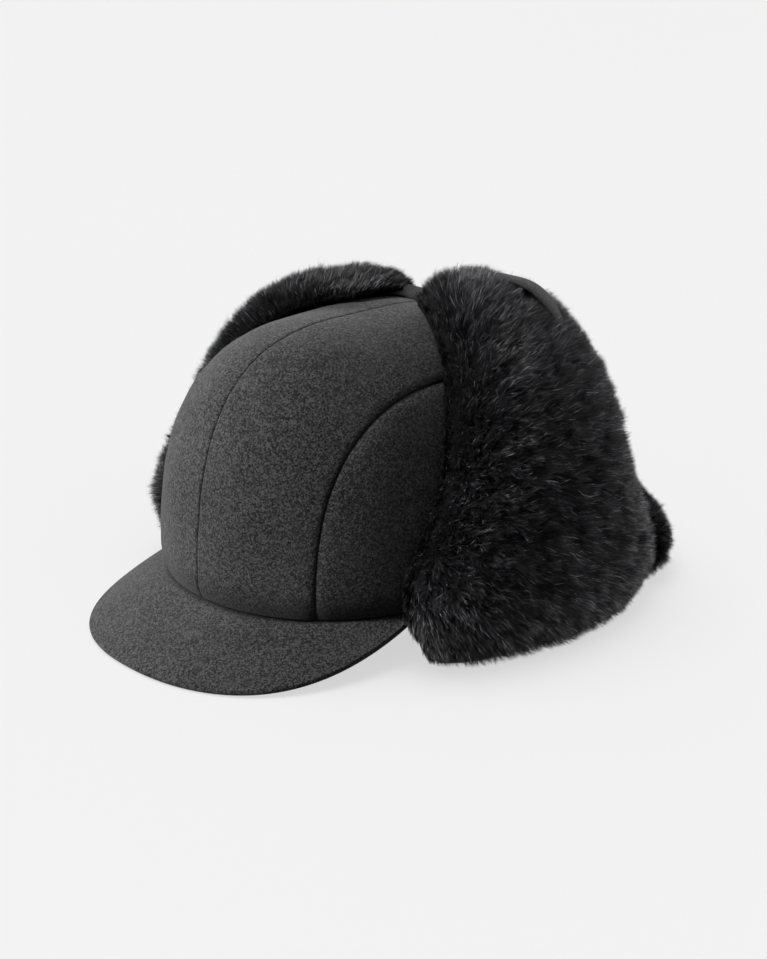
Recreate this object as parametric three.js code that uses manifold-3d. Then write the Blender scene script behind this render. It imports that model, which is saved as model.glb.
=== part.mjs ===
import * as THREE from 'three';
import { mergeVertices } from 'three/addons/utils/BufferGeometryUtils.js';
import Module from 'manifold-3d';

// A winter cap with a short peak and deep fur flaps that are turned up and strapped over the crown.
// Millimetres. X is the wearer's left, Y is the back, Z is up from the surface the hat stands on.

// The crown is four panels of felted wool, sewn along the middle and along both sides.
const CROWN = { halfWidth: 85, front: 115, back: 95, height: 122, apexForward: 23, planSquareness: 2.32 };
const FULLNESS = { front: 2.93, side: 2.23, back: 2.92 };
const RIM_HEIGHT = 24.5;
const WALL = 2.5;
const CENTRE_PANEL = { width: 58.3, drawnIn: 4.5, curve: 6 };
const SEAM = { gap: 0.4, dip: 0.8, margin: 3 };
const CROWN_STEPS = 20;
const HALVINGS = 32;

// The peak is a stiff crescent covered with the same wool, sewn under the front of the rim.
const PEAK = { halfTurn: 72, reach: 39.5, thickness: 3.6, edge: 3, splay: 22, bluntness: 5, taper: 0.93 };
const PEAK_SHAPE = { steps: 22, crease: 1.12, chamfer: 0.75 };
const SEAT_GAP = 0.3;

// An ear flap lies against the side of the crown. Each row is one height on the crown, given by the
// angle in a section across the hat, with the front and back edges of a flap, the depth of its fur and
// how much deeper the fur grows to the back.
const LEFT_FLAP_ROWS = [
  { angle: -38, front: -28, back: 96, fur: 20, swell: 26 },
  { angle: -25, front: -47, back: 102, fur: 30, swell: 24 },
  { angle: -10, front: -57, back: 98, fur: 36, swell: 8 },
  { angle: 8, front: -51, back: 88, fur: 35, swell: 1 },
  { angle: 25, front: -36, back: 83, fur: 33, swell: 0 },
  { angle: 43, front: -23, back: 81, fur: 32, swell: 0 },
  { angle: 60, front: -8, back: 77, fur: 31, swell: 0 },
  { angle: 73, front: 2, back: 67, fur: 32, swell: 0 },
  { angle: 83, front: 10, back: 52, fur: 30, swell: 0 },
];
const RIGHT_FLAP_ROWS = [
  { angle: -38, front: -35, back: 84, fur: 18, swell: 18 },
  { angle: -25, front: -55, back: 92, fur: 28, swell: 16 },
  { angle: -10, front: -66, back: 90, fur: 34, swell: 6 },
  { angle: 8, front: -61, back: 84, fur: 31, swell: 1 },
  { angle: 25, front: -50, back: 80, fur: 27, swell: 0 },
  { angle: 43, front: -41, back: 72, fur: 27, swell: 0 },
  { angle: 60, front: -31, back: 60, fur: 23, swell: 0 },
  { angle: 73, front: -21, back: 43, fur: 14, swell: 0 },
  { angle: 83, front: -6, back: 24, fur: 7, swell: 0 },
];
const FLAP_CLEARANCE = 1.9;
const SECTION_CENTRE_HEIGHT = RIM_HEIGHT + 20;

// The neck flap is a lower cuff round the back, which stands a little away from the crown.
const NECK_ROWS = [
  { height: -6, turn: 46, stand: 0, fur: 44 },
  { height: 8, turn: 54, stand: 0, fur: 56 },
  { height: 22, turn: 56, stand: 0, fur: 54 },
  { height: 34, turn: 54, stand: 3, fur: 42 },
  { height: 46, turn: 48, stand: 7, fur: 28 },
  { height: 56, turn: 40, stand: 10, fur: 15 },
];
const NECK_CLEARANCE = 0.6;

// The ear flaps and the neck flap meet at an upright parting behind each ear.
const PARTING = { x: 50, y: 68, turn: 133, gap: 0.5, top: 68 };
const FUR_EDGE = { leaf: 3, roundness: 3.2, crowding: 0.06 };
const EAR_GRAIN = { columns: 11, rows: 12 };
const NECK_GRAIN = { columns: 14, rows: 7 };

// A lock of fur is a bent, flattened tuft, rooted inside the pile.
const LOCK = { width: 12, depth: 5, tip: 0.25, lean: 17, lift: 0.8, sink: 6, bend: 0.7, leastPile: 14 };
const LOCK_GRAIN = { sides: 5, steps: 2 };
const LOCK_SIZE = { least: 0.85, spread: 0.3, perRow: 7.3, perPlace: 4.1 };
const LOCK_INSET = { across: 0.06, along: 0.05 };
const EAR_LOCKS = { rows: 8, columns: 5, parting: { u: -0.1, v: 0.5 } };
const NECK_LOCKS = { rows: 3, columns: 8, parting: { u: 0.5, v: 0.6 } };
const LOCK_STAGGER = 0.25;
const LOCK_STEP = 0.01;

// The strap runs over the crown from flap to flap. Each row is a point on its middle line.
const STRAP_ROWS = [
  { x: -30, y: 26, z: 145 },
  { x: -20, y: 29, z: 145.4 },
  { x: -8, y: 31, z: 145.7 },
  { x: 3, y: 34, z: 146.5 },
  { x: 14, y: 38, z: 153.5 },
  { x: 26, y: 43, z: 159.8 },
  { x: 38, y: 48, z: 161 },
  { x: 50, y: 53, z: 157.6 },
  { x: 61, y: 58, z: 149.9 },
  { x: 68, y: 62, z: 141.6 },
];
const STRAP = { width: 16, thickness: 1.8, headroom: 22, steps: 22 };
const CUT_SIZE = 600;

const WOOL = { color: 0x34353a, roughness: 0.95 };
const PEAK_WOOL = { color: 0x37383c, roughness: 0.95 };
const FUR = { color: 0x17171a, roughness: 0.9 };
const STRAP_CLOTH = { color: 0x2a2b2f, roughness: 0.85 };

const wasm = await Module();
wasm.setup();

const radians = THREE.MathUtils.degToRad;

function signedPower(value, power) {
  return Math.sign(value) * Math.abs(value) ** power;
}

// Plan of the rim at a turn from the front, drawn in by a shrink for the inner face.
function planPoint(turn, shrink = 0) {
  const power = 2 / CROWN.planSquareness;
  const length = (Math.cos(turn) > 0 ? CROWN.front : CROWN.back) - shrink;
  const x = (CROWN.halfWidth - shrink) * signedPower(Math.sin(turn), power);
  const y = -length * signedPower(Math.cos(turn), power);
  return new THREE.Vector2(x, y);
}

function fullnessAt(sideShare, forward) {
  return FULLNESS.side * sideShare + (forward ? FULLNESS.front : FULLNESS.back) * (1 - sideShare);
}

function riseAt(spread, full, shrink) {
  return (CROWN.height - shrink) * Math.max(0, 1 - spread ** full) ** (1 / full);
}

// A point of the crown from its apex (spread 0) to its rim (spread 1).
function crownPoint(turn, spread, shrink = 0) {
  const rim = planPoint(turn, shrink);
  const full = fullnessAt(Math.sin(turn) ** 2, Math.cos(turn) > 0);
  const y = -CROWN.apexForward + spread * (rim.y + CROWN.apexForward);
  return new THREE.Vector3(spread * rim.x, y, RIM_HEIGHT + riseAt(spread, full, shrink));
}

// How far out a point of the plan lies (spread), and the turn of the meridian through it.
function meridianThrough(x, y, shrink = 0) {
  const found = { spread: 1, turn: 0 };
  let low = 0;
  let high = 1;
  for (let step = 0; step < HALVINGS; step++) {
    found.spread = (low + high) / 2;
    const rimX = x / found.spread;
    const rimY = -CROWN.apexForward + (y + CROWN.apexForward) / found.spread;
    const length = (rimY < 0 ? CROWN.front : CROWN.back) - shrink;
    const sideShare = Math.abs(rimX / (CROWN.halfWidth - shrink)) ** CROWN.planSquareness;
    const endShare = Math.abs(rimY / length) ** CROWN.planSquareness;
    const turn = Math.asin(Math.sqrt(Math.min(1, sideShare)));
    found.turn = rimY < 0 ? turn : Math.PI - turn;
    if (sideShare + endShare > 1) low = found.spread;
    else high = found.spread;
  }
  return found;
}

function crownHeight(x, y, shrink = 0) {
  const { spread, turn } = meridianThrough(x, y, shrink);
  return RIM_HEIGHT + riseAt(spread, fullnessAt(Math.sin(turn) ** 2, Math.cos(turn) > 0), shrink);
}

// A step along the line at one x, from the rim in front (share 0) to the rim behind (share 1).
function alongCrown(x, share, shrink) {
  const inset = 1 - (x / (CROWN.halfWidth - shrink)) ** CROWN.planSquareness;
  const reach = inset ** (1 / CROWN.planSquareness);
  const front = -(CROWN.front - shrink) * reach;
  const back = (CROWN.back - shrink) * reach;
  return (front + back) / 2 - ((back - front) / 2) * Math.cos(Math.PI * share);
}

// Half width of the rim's plan at one y.
function rimHalfWidth(y) {
  const length = y < 0 ? CROWN.front : CROWN.back;
  const share = Math.min(1, Math.abs(y / length) ** CROWN.planSquareness);
  return CROWN.halfWidth * (1 - share) ** (1 / CROWN.planSquareness);
}

// Distance from the section's centre to the crown's outer face, at an angle above level.
function crownReach(y, angle) {
  const width = rimHalfWidth(y);
  const atRim = width / Math.cos(angle);
  if (SECTION_CENTRE_HEIGHT + atRim * Math.sin(angle) < RIM_HEIGHT) return atRim;
  let low = WALL;
  let high = CROWN.height;
  for (let step = 0; step < HALVINGS; step++) {
    const reach = (low + high) / 2;
    const x = reach * Math.cos(angle);
    const z = SECTION_CENTRE_HEIGHT + reach * Math.sin(angle);
    if (x < width && z < crownHeight(x, y)) low = reach;
    else high = reach;
  }
  return low;
}

// A smooth value of one named column at a place 0 to 1 along a table.
function column(rows, name, place) {
  const scaled = THREE.MathUtils.clamp(place, 0, 1) * (rows.length - 1);
  const index = Math.min(Math.floor(scaled), rows.length - 2);
  const share = scaled - index;
  const pick = (i) => rows[THREE.MathUtils.clamp(i, 0, rows.length - 1)][name];
  const before = pick(index - 1);
  const start = pick(index);
  const end = pick(index + 1);
  const after = pick(index + 2);
  const curve = 2 * before - 5 * start + 4 * end - after + share * (3 * (start - end) + after - before);
  return start + 0.5 * share * (end - before + share * curve);
}

// Shares vertices, drops faces that closed up to a line, and turns the faces outwards.
function closedGeometry(geometry) {
  geometry.deleteAttribute('normal');
  geometry.deleteAttribute('uv');
  const merged = mergeVertices(geometry, 1e-3);
  const index = merged.index.array;
  const position = merged.attributes.position;
  const corners = [new THREE.Vector3(), new THREE.Vector3(), new THREE.Vector3()];
  const kept = [];
  let volume = 0;
  for (let i = 0; i < index.length; i += 3) {
    const [a, b, c] = [index[i], index[i + 1], index[i + 2]];
    if (a === b || b === c || c === a) continue;
    kept.push(a, b, c);
    corners.forEach((corner, k) => corner.fromBufferAttribute(position, index[i + k]));
    volume += corners[0].dot(corners[1].cross(corners[2]));
  }
  if (volume < 0) kept.reverse();
  merged.setIndex(kept);
  return merged;
}

// A closed solid made by placing each point of a block: u and v run over it, w through it.
function placedBlock(columns, rows, place) {
  const block = new THREE.BoxGeometry(1, 1, 1, columns, rows, 1);
  const position = block.attributes.position;
  for (let i = 0; i < position.count; i++) {
    const point = place(position.getX(i) + 0.5, position.getY(i) + 0.5, position.getZ(i) + 0.5);
    position.setXYZ(i, point.x, point.y, point.z);
  }
  return closedGeometry(block);
}

function toManifold(geometry) {
  const vertProperties = new Float32Array(geometry.attributes.position.array);
  const triVerts = new Uint32Array(geometry.index.array);
  return new wasm.Manifold(new wasm.Mesh({ numProp: 3, vertProperties, triVerts }));
}

function toGeometry(manifold) {
  const mesh = manifold.getMesh();
  const geometry = new THREE.BufferGeometry();
  geometry.setAttribute('position', new THREE.BufferAttribute(mesh.vertProperties, 3));
  geometry.setIndex(new THREE.BufferAttribute(mesh.triVerts, 1));
  return geometry;
}

// Distance of the side seam from the middle, at a step from the front (share 0) to the back (share 1).
function sideSeam(share) {
  return CENTRE_PANEL.width - CENTRE_PANEL.drawnIn * Math.sin(Math.PI * share) ** CENTRE_PANEL.curve;
}

// Half of the crown's middle: columns run front to back, the first at the centre seam.
function centrePanel(side) {
  const across = [0, SEAM.margin, 20, 38, CENTRE_PANEL.width - SEAM.margin, CENTRE_PANEL.width];
  return placedBlock(CROWN_STEPS, across.length - 1, (u, v, w) => {
    const line = Math.round(v * (across.length - 1));
    const x = (across[line] * sideSeam(u)) / CENTRE_PANEL.width;
    const atSeam = line === 0 || line === across.length - 1;
    const shrink = WALL * (1 - w) + (atSeam ? SEAM.dip * w : 0);
    const y = alongCrown(x, u, shrink);
    return new THREE.Vector3(side * (x + SEAM.gap / 2), y, crownHeight(x, y, shrink));
  });
}

// The side of the crown below its curved seam, from the front corner round to the back one.
function sidePanel(side) {
  const down = [0, 0.12, 0.36, 0.56, 0.73, 0.88, 1];
  return placedBlock(CROWN_STEPS, down.length - 1, (u, v, w) => {
    const seamX = sideSeam(u) + 1.5 * SEAM.gap;
    const line = Math.round(v * (down.length - 1));
    const shrink = WALL * (1 - w) + (line === 0 ? SEAM.dip * w : 0);
    const seam = meridianThrough(seamX, alongCrown(seamX, u, shrink), shrink);
    const point = crownPoint(seam.turn, THREE.MathUtils.lerp(seam.spread, 1, down[line]), shrink);
    return new THREE.Vector3(side * point.x, point.y, point.z);
  });
}

// The peak from its sewn edge under the rim (v 0) to its free edge (v 1), grown by a margin to cut with.
function peakSolid(margin = 0) {
  const drop = RIM_HEIGHT - SEAT_GAP - PEAK.edge;
  const outward = [0, 0.08, 0.3, 0.55, 0.8, 0.95, 1];
  return placedBlock(PEAK_SHAPE.steps, outward.length - 1, (u, v, w) => {
    const line = Math.round(v * (outward.length - 1));
    const share = 2 * u - 1;
    const turn = radians(PEAK.halfTurn) * share;
    const depth = (1 - Math.abs(share) ** PEAK.bluntness) ** PEAK.taper;
    const sewn = planPoint(turn, WALL);
    const out = (WALL + (PEAK.reach + margin) * depth + margin) * outward[line];
    const lean = radians(PEAK.splay) * share;
    const crease = outward[line] ** PEAK_SHAPE.crease;
    const top = RIM_HEIGHT - SEAT_GAP - drop * depth * crease + (line > 0 ? margin : 0);
    const atEdge = line === outward.length - 1;
    const thickness = THREE.MathUtils.lerp(PEAK.thickness, PEAK.edge, outward[line]) + 2 * margin;
    const z = w > 0.5 ? top - (atEdge ? PEAK_SHAPE.chamfer : 0) : top - thickness;
    return new THREE.Vector3(sewn.x + out * Math.sin(lean), sewn.y - out * Math.cos(lean), z);
  });
}

// Fur is thin at the edges of its leaf and rounds up quickly to its full depth.
function furDepth(depth, u, v) {
  const round = (s) => (1 - Math.abs(2 * s - 1) ** FUR_EDGE.roundness) ** (1 / FUR_EDGE.roundness);
  return FUR_EDGE.leaf + (depth - FUR_EDGE.leaf) * round(u) * round(v);
}

// Crowds the columns of a block towards its edges, where the fur rounds off.
function crowded(s) {
  const start = Math.PI * FUR_EDGE.crowding;
  return 0.5 - (0.5 * Math.cos(THREE.MathUtils.lerp(start, Math.PI - start, s))) / Math.cos(start);
}

// A point against the crown, in the section at one y.
function againstCrown(y, angle) {
  const reach = crownReach(y, angle);
  return new THREE.Vector3(reach * Math.cos(angle), y, SECTION_CENTRE_HEIGHT + reach * Math.sin(angle));
}

// The way a surface faces at a point, from two more points on it and one that lies behind it.
function facingFrom(point, alongOne, alongOther, behind) {
  const facing = new THREE.Vector3().crossVectors(alongOne.sub(point), alongOther.sub(point)).normalize();
  if (facing.dot(point) < facing.dot(behind)) facing.negate();
  return facing;
}

function earFlapPoint(side, u, v, w) {
  const rows = side > 0 ? LEFT_FLAP_ROWS : RIGHT_FLAP_ROWS;
  const angle = radians(column(rows, 'angle', v));
  const y = THREE.MathUtils.lerp(column(rows, 'front', v), column(rows, 'back', v), u);
  const point = againstCrown(y, angle);
  const centre = new THREE.Vector3(0, y, SECTION_CENTRE_HEIGHT);
  const facing = facingFrom(point, againstCrown(y + 1, angle), againstCrown(y, angle + radians(1)), centre);
  const deepest = column(rows, 'fur', v) + column(rows, 'swell', v) * u * u;
  point.addScaledVector(facing, FLAP_CLEARANCE + w * furDepth(deepest, u, v));
  point.x *= side;
  return point;
}

function neckFlapPoint(u, v, w) {
  const height = column(NECK_ROWS, 'height', v);
  const turn = Math.PI + radians(column(NECK_ROWS, 'turn', v)) * (1 - 2 * u);
  const full = fullnessAt(Math.sin(turn) ** 2, false);
  const rise = Math.max(0, height - RIM_HEIGHT) / CROWN.height;
  const spread = (1 - rise ** full) ** (1 / full);
  const rim = planPoint(turn);
  const plan = new THREE.Vector2(spread * rim.x, -CROWN.apexForward + spread * (rim.y + CROWN.apexForward));
  const away = new THREE.Vector2(rim.x, rim.y).normalize();
  const inner = NECK_CLEARANCE + column(NECK_ROWS, 'stand', v);
  plan.addScaledVector(away, inner + w * furDepth(column(NECK_ROWS, 'fur', v), u, v));
  return new THREE.Vector3(plan.x, plan.y, height);
}

// One tuft, bent from the way the surface faces towards the way the fur is combed.
function lockSolid(root, facing, combed, size) {
  const tuft = new THREE.CylinderGeometry(LOCK.tip, 1, 1, LOCK_GRAIN.sides, LOCK_GRAIN.steps);
  const side = new THREE.Vector3().crossVectors(facing, combed).normalize();
  const position = tuft.attributes.position;
  for (let i = 0; i < position.count; i++) {
    const along = position.getY(i) + 0.5;
    const rise = (LOCK.sink + LOCK.lift) * along ** LOCK.bend - LOCK.sink + LOCK.depth * position.getX(i);
    const point = root.clone().addScaledVector(facing, rise * size);
    point.addScaledVector(combed, LOCK.lean * size * along);
    point.addScaledVector(side, LOCK.width * size * position.getZ(i));
    position.setXYZ(i, point.x, point.y, point.z);
  }
  return toManifold(closedGeometry(tuft));
}

// Rows of locks over a fur surface, staggered like tiles and combed away from a parting. There are
// none where the pile is too thin to root them.
function locksOn(surface, grid) {
  const locks = [];
  for (let row = 0; row < grid.rows; row++) {
    for (let place = 0; place < grid.columns; place++) {
      const stagger = row % 2 ? 1 - LOCK_STAGGER : LOCK_STAGGER;
      const across = (place + stagger) / grid.columns;
      const along = (row + 0.5) / grid.rows;
      const u = THREE.MathUtils.lerp(LOCK_INSET.across, 1 - LOCK_INSET.across, across);
      const v = THREE.MathUtils.lerp(LOCK_INSET.along, 1 - LOCK_INSET.along, along);
      const root = surface(u, v, 1);
      const behind = surface(u, v, 0);
      if (root.distanceTo(behind) < LOCK.leastPile) continue;
      const besideU = surface(u + LOCK_STEP, v, 1);
      const besideV = surface(u, v + LOCK_STEP, 1);
      const alongU = besideU.clone().sub(root).normalize().multiplyScalar(u - grid.parting.u);
      const alongV = besideV.clone().sub(root).normalize().multiplyScalar(v - grid.parting.v);
      const facing = facingFrom(root, besideU, besideV, behind);
      const combed = alongU.add(alongV).normalize();
      const chance = Math.abs(Math.sin(LOCK_SIZE.perRow * row + LOCK_SIZE.perPlace * place));
      const size = LOCK_SIZE.least + LOCK_SIZE.spread * chance;
      locks.push(lockSolid(root, facing, combed, size));
    }
  }
  return locks;
}

// Everything below the surface that the hat stands on, to cut with.
function belowFloor() {
  const block = new THREE.BoxGeometry(CUT_SIZE, CUT_SIZE, CUT_SIZE);
  block.translate(0, 0, -CUT_SIZE / 2);
  return toManifold(closedGeometry(block));
}

// Everything behind an ear flap's parting, up to the top of the neck flap, or everything ahead of it.
function partingBlock(side, behind) {
  const block = new THREE.BoxGeometry(2 * CUT_SIZE, CUT_SIZE, behind ? 2 * PARTING.top : CUT_SIZE);
  block.translate(0, (behind ? 0.5 : -0.5) * (CUT_SIZE - PARTING.gap), 0);
  block.rotateZ(radians(PARTING.turn) - Math.PI / 2);
  block.translate(PARTING.x, PARTING.y, 0);
  block.scale(side, 1, 1);
  return toManifold(closedGeometry(block));
}

function earFlap(side) {
  const surface = (u, v, w) => earFlapPoint(side, u, v, w);
  const place = (u, v, w) => surface(crowded(u), crowded(v), w);
  const body = placedBlock(EAR_GRAIN.columns, EAR_GRAIN.rows, place);
  const locks = locksOn(surface, EAR_LOCKS);
  return wasm.Manifold.union([toManifold(body), ...locks]);
}

function neckFlap() {
  const place = (u, v, w) => neckFlapPoint(crowded(u), crowded(v), w);
  const body = placedBlock(NECK_GRAIN.columns, NECK_GRAIN.rows, place);
  const locks = locksOn(neckFlapPoint, NECK_LOCKS);
  return wasm.Manifold.union([toManifold(body), ...locks]);
}

// The strap's flat section is carried along its middle line. To cut with, it is grown by a margin,
// with headroom above it where the fur is pressed down.
function strapSolid(margin = 0, headroom = 0) {
  const path = new THREE.CatmullRomCurve3(STRAP_ROWS.map((row) => new THREE.Vector3(row.x, row.y, row.z)));
  return placedBlock(STRAP.steps, 1, (u, v, w) => {
    const point = path.getPointAt(u);
    const ahead = path.getTangentAt(u);
    const level = new THREE.Vector3(-ahead.y, ahead.x, 0).normalize();
    const up = new THREE.Vector3().crossVectors(ahead, level);
    if (up.z < 0) up.negate();
    point.addScaledVector(ahead, (u < 0.5 ? -margin : margin) * Math.abs(2 * u - 1));
    point.addScaledVector(level, (v - 0.5) * (STRAP.width + 2 * margin));
    point.addScaledVector(up, (w - 0.5) * (STRAP.thickness + 2 * margin) + w * headroom);
    return point;
  });
}

function piece(name, geometry, look) {
  geometry.computeVertexNormals();
  const mesh = new THREE.Mesh(geometry, new THREE.MeshStandardMaterial({ ...look, metalness: 0 }));
  mesh.name = name;
  return mesh;
}

const hat = new THREE.Group();
hat.add(piece('crown_top_left', centrePanel(1), WOOL));
hat.add(piece('crown_top_right', centrePanel(-1), WOOL));
hat.add(piece('crown_side_left', sidePanel(1), WOOL));
hat.add(piece('crown_side_right', sidePanel(-1), WOOL));
hat.add(piece('peak', peakSolid(), PEAK_WOOL));
hat.add(piece('top_strap', strapSolid(), STRAP_CLOTH));

const peakRoom = toManifold(peakSolid(SEAT_GAP));
const strapRoom = toManifold(strapSolid(SEAT_GAP, STRAP.headroom));
for (const [name, side] of [['ear_flap_left', 1], ['ear_flap_right', -1]]) {
  const cuts = [belowFloor(), partingBlock(side, true), peakRoom, strapRoom];
  const flap = wasm.Manifold.difference([earFlap(side), ...cuts]);
  hat.add(piece(name, toGeometry(flap), FUR));
}
const neckCuts = [belowFloor(), partingBlock(1, false), partingBlock(-1, false)];
const neck = wasm.Manifold.difference([neckFlap(), ...neckCuts]);
hat.add(piece('neck_flap', toGeometry(neck), FUR));

// The origin is the middle of the ground that the hat covers.
const extent = new THREE.Box3().setFromObject(hat);
const middle = extent.getCenter(new THREE.Vector3());
hat.position.set(-middle.x, -middle.y, -extent.min.z);

export default hat;
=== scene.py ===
"""Dresses the winter cap: felted wool panels and peak, deep fur flaps and a strap over them."""

import math

import bmesh
import bpy
import numpy as np
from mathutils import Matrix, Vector
from mathutils.kdtree import KDTree


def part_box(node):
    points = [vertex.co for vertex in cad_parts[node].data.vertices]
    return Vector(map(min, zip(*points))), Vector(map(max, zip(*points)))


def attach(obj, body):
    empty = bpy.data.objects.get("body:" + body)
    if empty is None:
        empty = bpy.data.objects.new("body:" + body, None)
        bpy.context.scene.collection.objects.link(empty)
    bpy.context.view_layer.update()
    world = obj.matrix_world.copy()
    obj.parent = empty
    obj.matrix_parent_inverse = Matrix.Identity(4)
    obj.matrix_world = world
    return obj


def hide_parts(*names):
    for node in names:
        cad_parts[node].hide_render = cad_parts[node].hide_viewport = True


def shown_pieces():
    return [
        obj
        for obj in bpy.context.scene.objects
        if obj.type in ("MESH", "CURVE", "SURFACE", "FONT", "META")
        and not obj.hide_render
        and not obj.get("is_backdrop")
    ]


bl_info = {
    "name": "Winter cap",
    "version": (1, 0, 0),
    "blender": (4, 5, 0),
    "location": "View3D > Sidebar > Winter cap",
    "description": "Sews the crown and peak of a winter cap and grows the fur of its flaps",
    "category": "Object",
}

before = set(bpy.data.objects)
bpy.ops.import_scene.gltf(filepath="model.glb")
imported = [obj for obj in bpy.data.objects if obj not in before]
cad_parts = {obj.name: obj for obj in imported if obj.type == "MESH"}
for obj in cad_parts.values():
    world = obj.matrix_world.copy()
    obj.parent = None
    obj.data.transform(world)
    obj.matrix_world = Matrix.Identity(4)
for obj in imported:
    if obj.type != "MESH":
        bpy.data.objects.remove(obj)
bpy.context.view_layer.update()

MM = 0.001

# The hat's own shape in millimetres, before it is moved so that the origin is under its middle.
HALF_WIDTH = 85
FRONT = 115
BACK = 95
CROWN_HEIGHT = 122
APEX_FORWARD = 23
SQUARENESS = 2.32
FULL_FRONT = 2.93
FULL_SIDE = 2.23
FULL_BACK = 2.92
RIM_HEIGHT = 24.5
CENTRE_PANEL = 58.3
SEAM_DRAWN_IN = 4.5
SEAM_CURVE = 6
SEAM_GAP = 0.4
CREASE_WIDTH = 0.45
RIM_TURN_REACH = 12
SECTION_HEIGHT = RIM_HEIGHT + 20

PEAK_HALF_TURN = 72
PEAK_REACH = 39.5
PEAK_THICKNESS = 3.6
PEAK_EDGE = 3
PEAK_SPLAY = 22
PEAK_SEWN = 5.2
PEAK_TOP = RIM_HEIGHT - 0.3
PEAK_OFF_FLOOR = 0.2

# One column for each height on the crown: its angle, the edges of a flap and the depth of its fur.
FLAP_ANGLE = [-38, -25, -10, 8, 25, 43, 60, 73, 83]
LEFT_FLAP = {
    "front": [-28, -47, -57, -51, -36, -23, -8, 2, 10],
    "back": [96, 102, 98, 88, 83, 81, 77, 67, 52],
    "fur": [20, 30, 36, 35, 33, 32, 31, 32, 30],
    "swell": [26, 24, 8, 1, 0, 0, 0, 0, 0],
}
RIGHT_FLAP = {
    "front": [-35, -55, -66, -61, -50, -41, -31, -21, -6],
    "back": [84, 92, 90, 84, 80, 72, 60, 43, 24],
    "fur": [18, 28, 34, 31, 27, 27, 23, 14, 7],
    "swell": [18, 16, 6, 1, 0, 0, 0, 0, 0],
}
FLAP_CLEARANCE = 1.9

NECK_LEVEL = [-6, 8, 22, 34, 46, 56]
NECK_TURN = [46, 54, 56, 54, 48, 40]
NECK_STAND = [0, 0, 0, 3, 7, 10]
NECK_FUR = [44, 56, 54, 42, 28, 15]
NECK_CLEARANCE = 0.6

PARTING_POINT = (50, 68)
PARTING_TURN = 133
PARTING_TOP = 68
LEAF = 3
ROUNDNESS = 3.2
UNDERCOAT_INSET = 7
TUFT_STRANDS = 12
# How far the fur stays above the surface the hat stands on: its undercoat, the middle lines of its
# strands and their edges.
UNDERCOAT_LOWEST = 0.6
LINES_LOWEST = 0.3
RIBBONS_LOWEST = 0.2

STRAP_LINE = [
    (-30, 26, 144.4),
    (-20, 29, 144.8),
    (-8, 31, 145.1),
    (3, 34, 146),
    (14, 38, 153),
    (26, 43, 159),
    (38, 48, 160),
    (50, 53, 157.6),
    (61, 58, 149.2),
    (68, 62, 139.5),
]
STRAP_WIDTH = 16
STRAP_THICKNESS = 1.8
STRAP_TILT = 13
STRAP_SINK = 3.5
STRAP_STEPS = 40
# In those steps, where the fur under the strap is pressed down and where none lies over it.
STRAP_PRESSES = (21, 34)
STRAP_CLEARED = (24, 31)

# The viewing angle of the photograph, and where the hat stands in its frame.
VIEW_AZIMUTH = 49.29
VIEW_ELEVATION = 19.94
VIEW_DISTANCE = 1500
VIEW_PIVOT = (0, 0, 84.5)
PIXELS_PER_MM = 2.04
IMAGE = (767, 959)
PIVOT_PIXEL = (381.57, 425.92)

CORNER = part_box("crown_top_left")[0]
SHIFT = np.array([CORNER[0] / MM - SEAM_GAP / 2, CORNER[1] / MM + FRONT - 0.02, 0.0])


class CapSettings(bpy.types.PropertyGroup):
    """Sizes and colours of the cap's finish."""

    wall: bpy.props.FloatProperty(
        name="Cloth wall", description="Thickness of the felted wool", default=0.0025, unit="LENGTH"
    )
    seam_dip: bpy.props.FloatProperty(
        name="Seam dip",
        description="How far the wool turns in at a seam",
        default=0.0010,
        unit="LENGTH",
    )
    rim_roll: bpy.props.FloatProperty(
        name="Rim roll",
        description="How far the wool turns in at the rim",
        default=0.0030,
        unit="LENGTH",
    )
    ripple: bpy.props.FloatProperty(
        name="Ripple", description="Unevenness of the sewn cloth", default=0.0005, unit="LENGTH"
    )
    strand_width: bpy.props.FloatProperty(
        name="Strand width", description="Width of one fur strand", default=0.00042, unit="LENGTH"
    )
    root_depth: bpy.props.FloatProperty(
        name="Root depth",
        description="How far below its tips the fur is rooted",
        default=0.011,
        unit="LENGTH",
    )
    combing: bpy.props.FloatProperty(
        name="Combing",
        description="How far the fur leans to the back",
        default=0.34,
        subtype="FACTOR",
    )
    clump: bpy.props.FloatProperty(
        name="Clumping", description="How far strands draw together", default=0.5, subtype="FACTOR"
    )
    tufts: bpy.props.IntProperty(
        name="Tufts", description="Tufts in the fur of each flap", default=3000
    )
    left_strands: bpy.props.IntProperty(
        name="Left flap strands", description="Strands in each half of the left flap", default=62000
    )
    right_strands: bpy.props.IntProperty(
        name="Right flap strands",
        description="Strands in each half of the right flap",
        default=44000,
    )
    neck_strands: bpy.props.IntProperty(
        name="Neck flap strands", description="Strands of the neck flap", default=60000
    )
    wool_colour: bpy.props.FloatVectorProperty(
        name="Wool",
        description="Middle tone of the crown",
        default=(0.0345, 0.0345, 0.0342),
        subtype="COLOR",
    )
    fur_colour: bpy.props.FloatVectorProperty(
        name="Fur",
        description="Middle tone of the fur",
        default=(0.011, 0.011, 0.012),
        subtype="COLOR",
    )
    strap_colour: bpy.props.FloatVectorProperty(
        name="Strap",
        description="Middle tone of the strap",
        default=(0.030, 0.030, 0.0315),
        subtype="COLOR",
    )


def settings():
    return bpy.context.scene.winter_cap


def socket_name(word):
    """A shader socket's name from its keyword."""
    return word.replace("_", " ").title().replace("Ior", "IOR")


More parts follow.
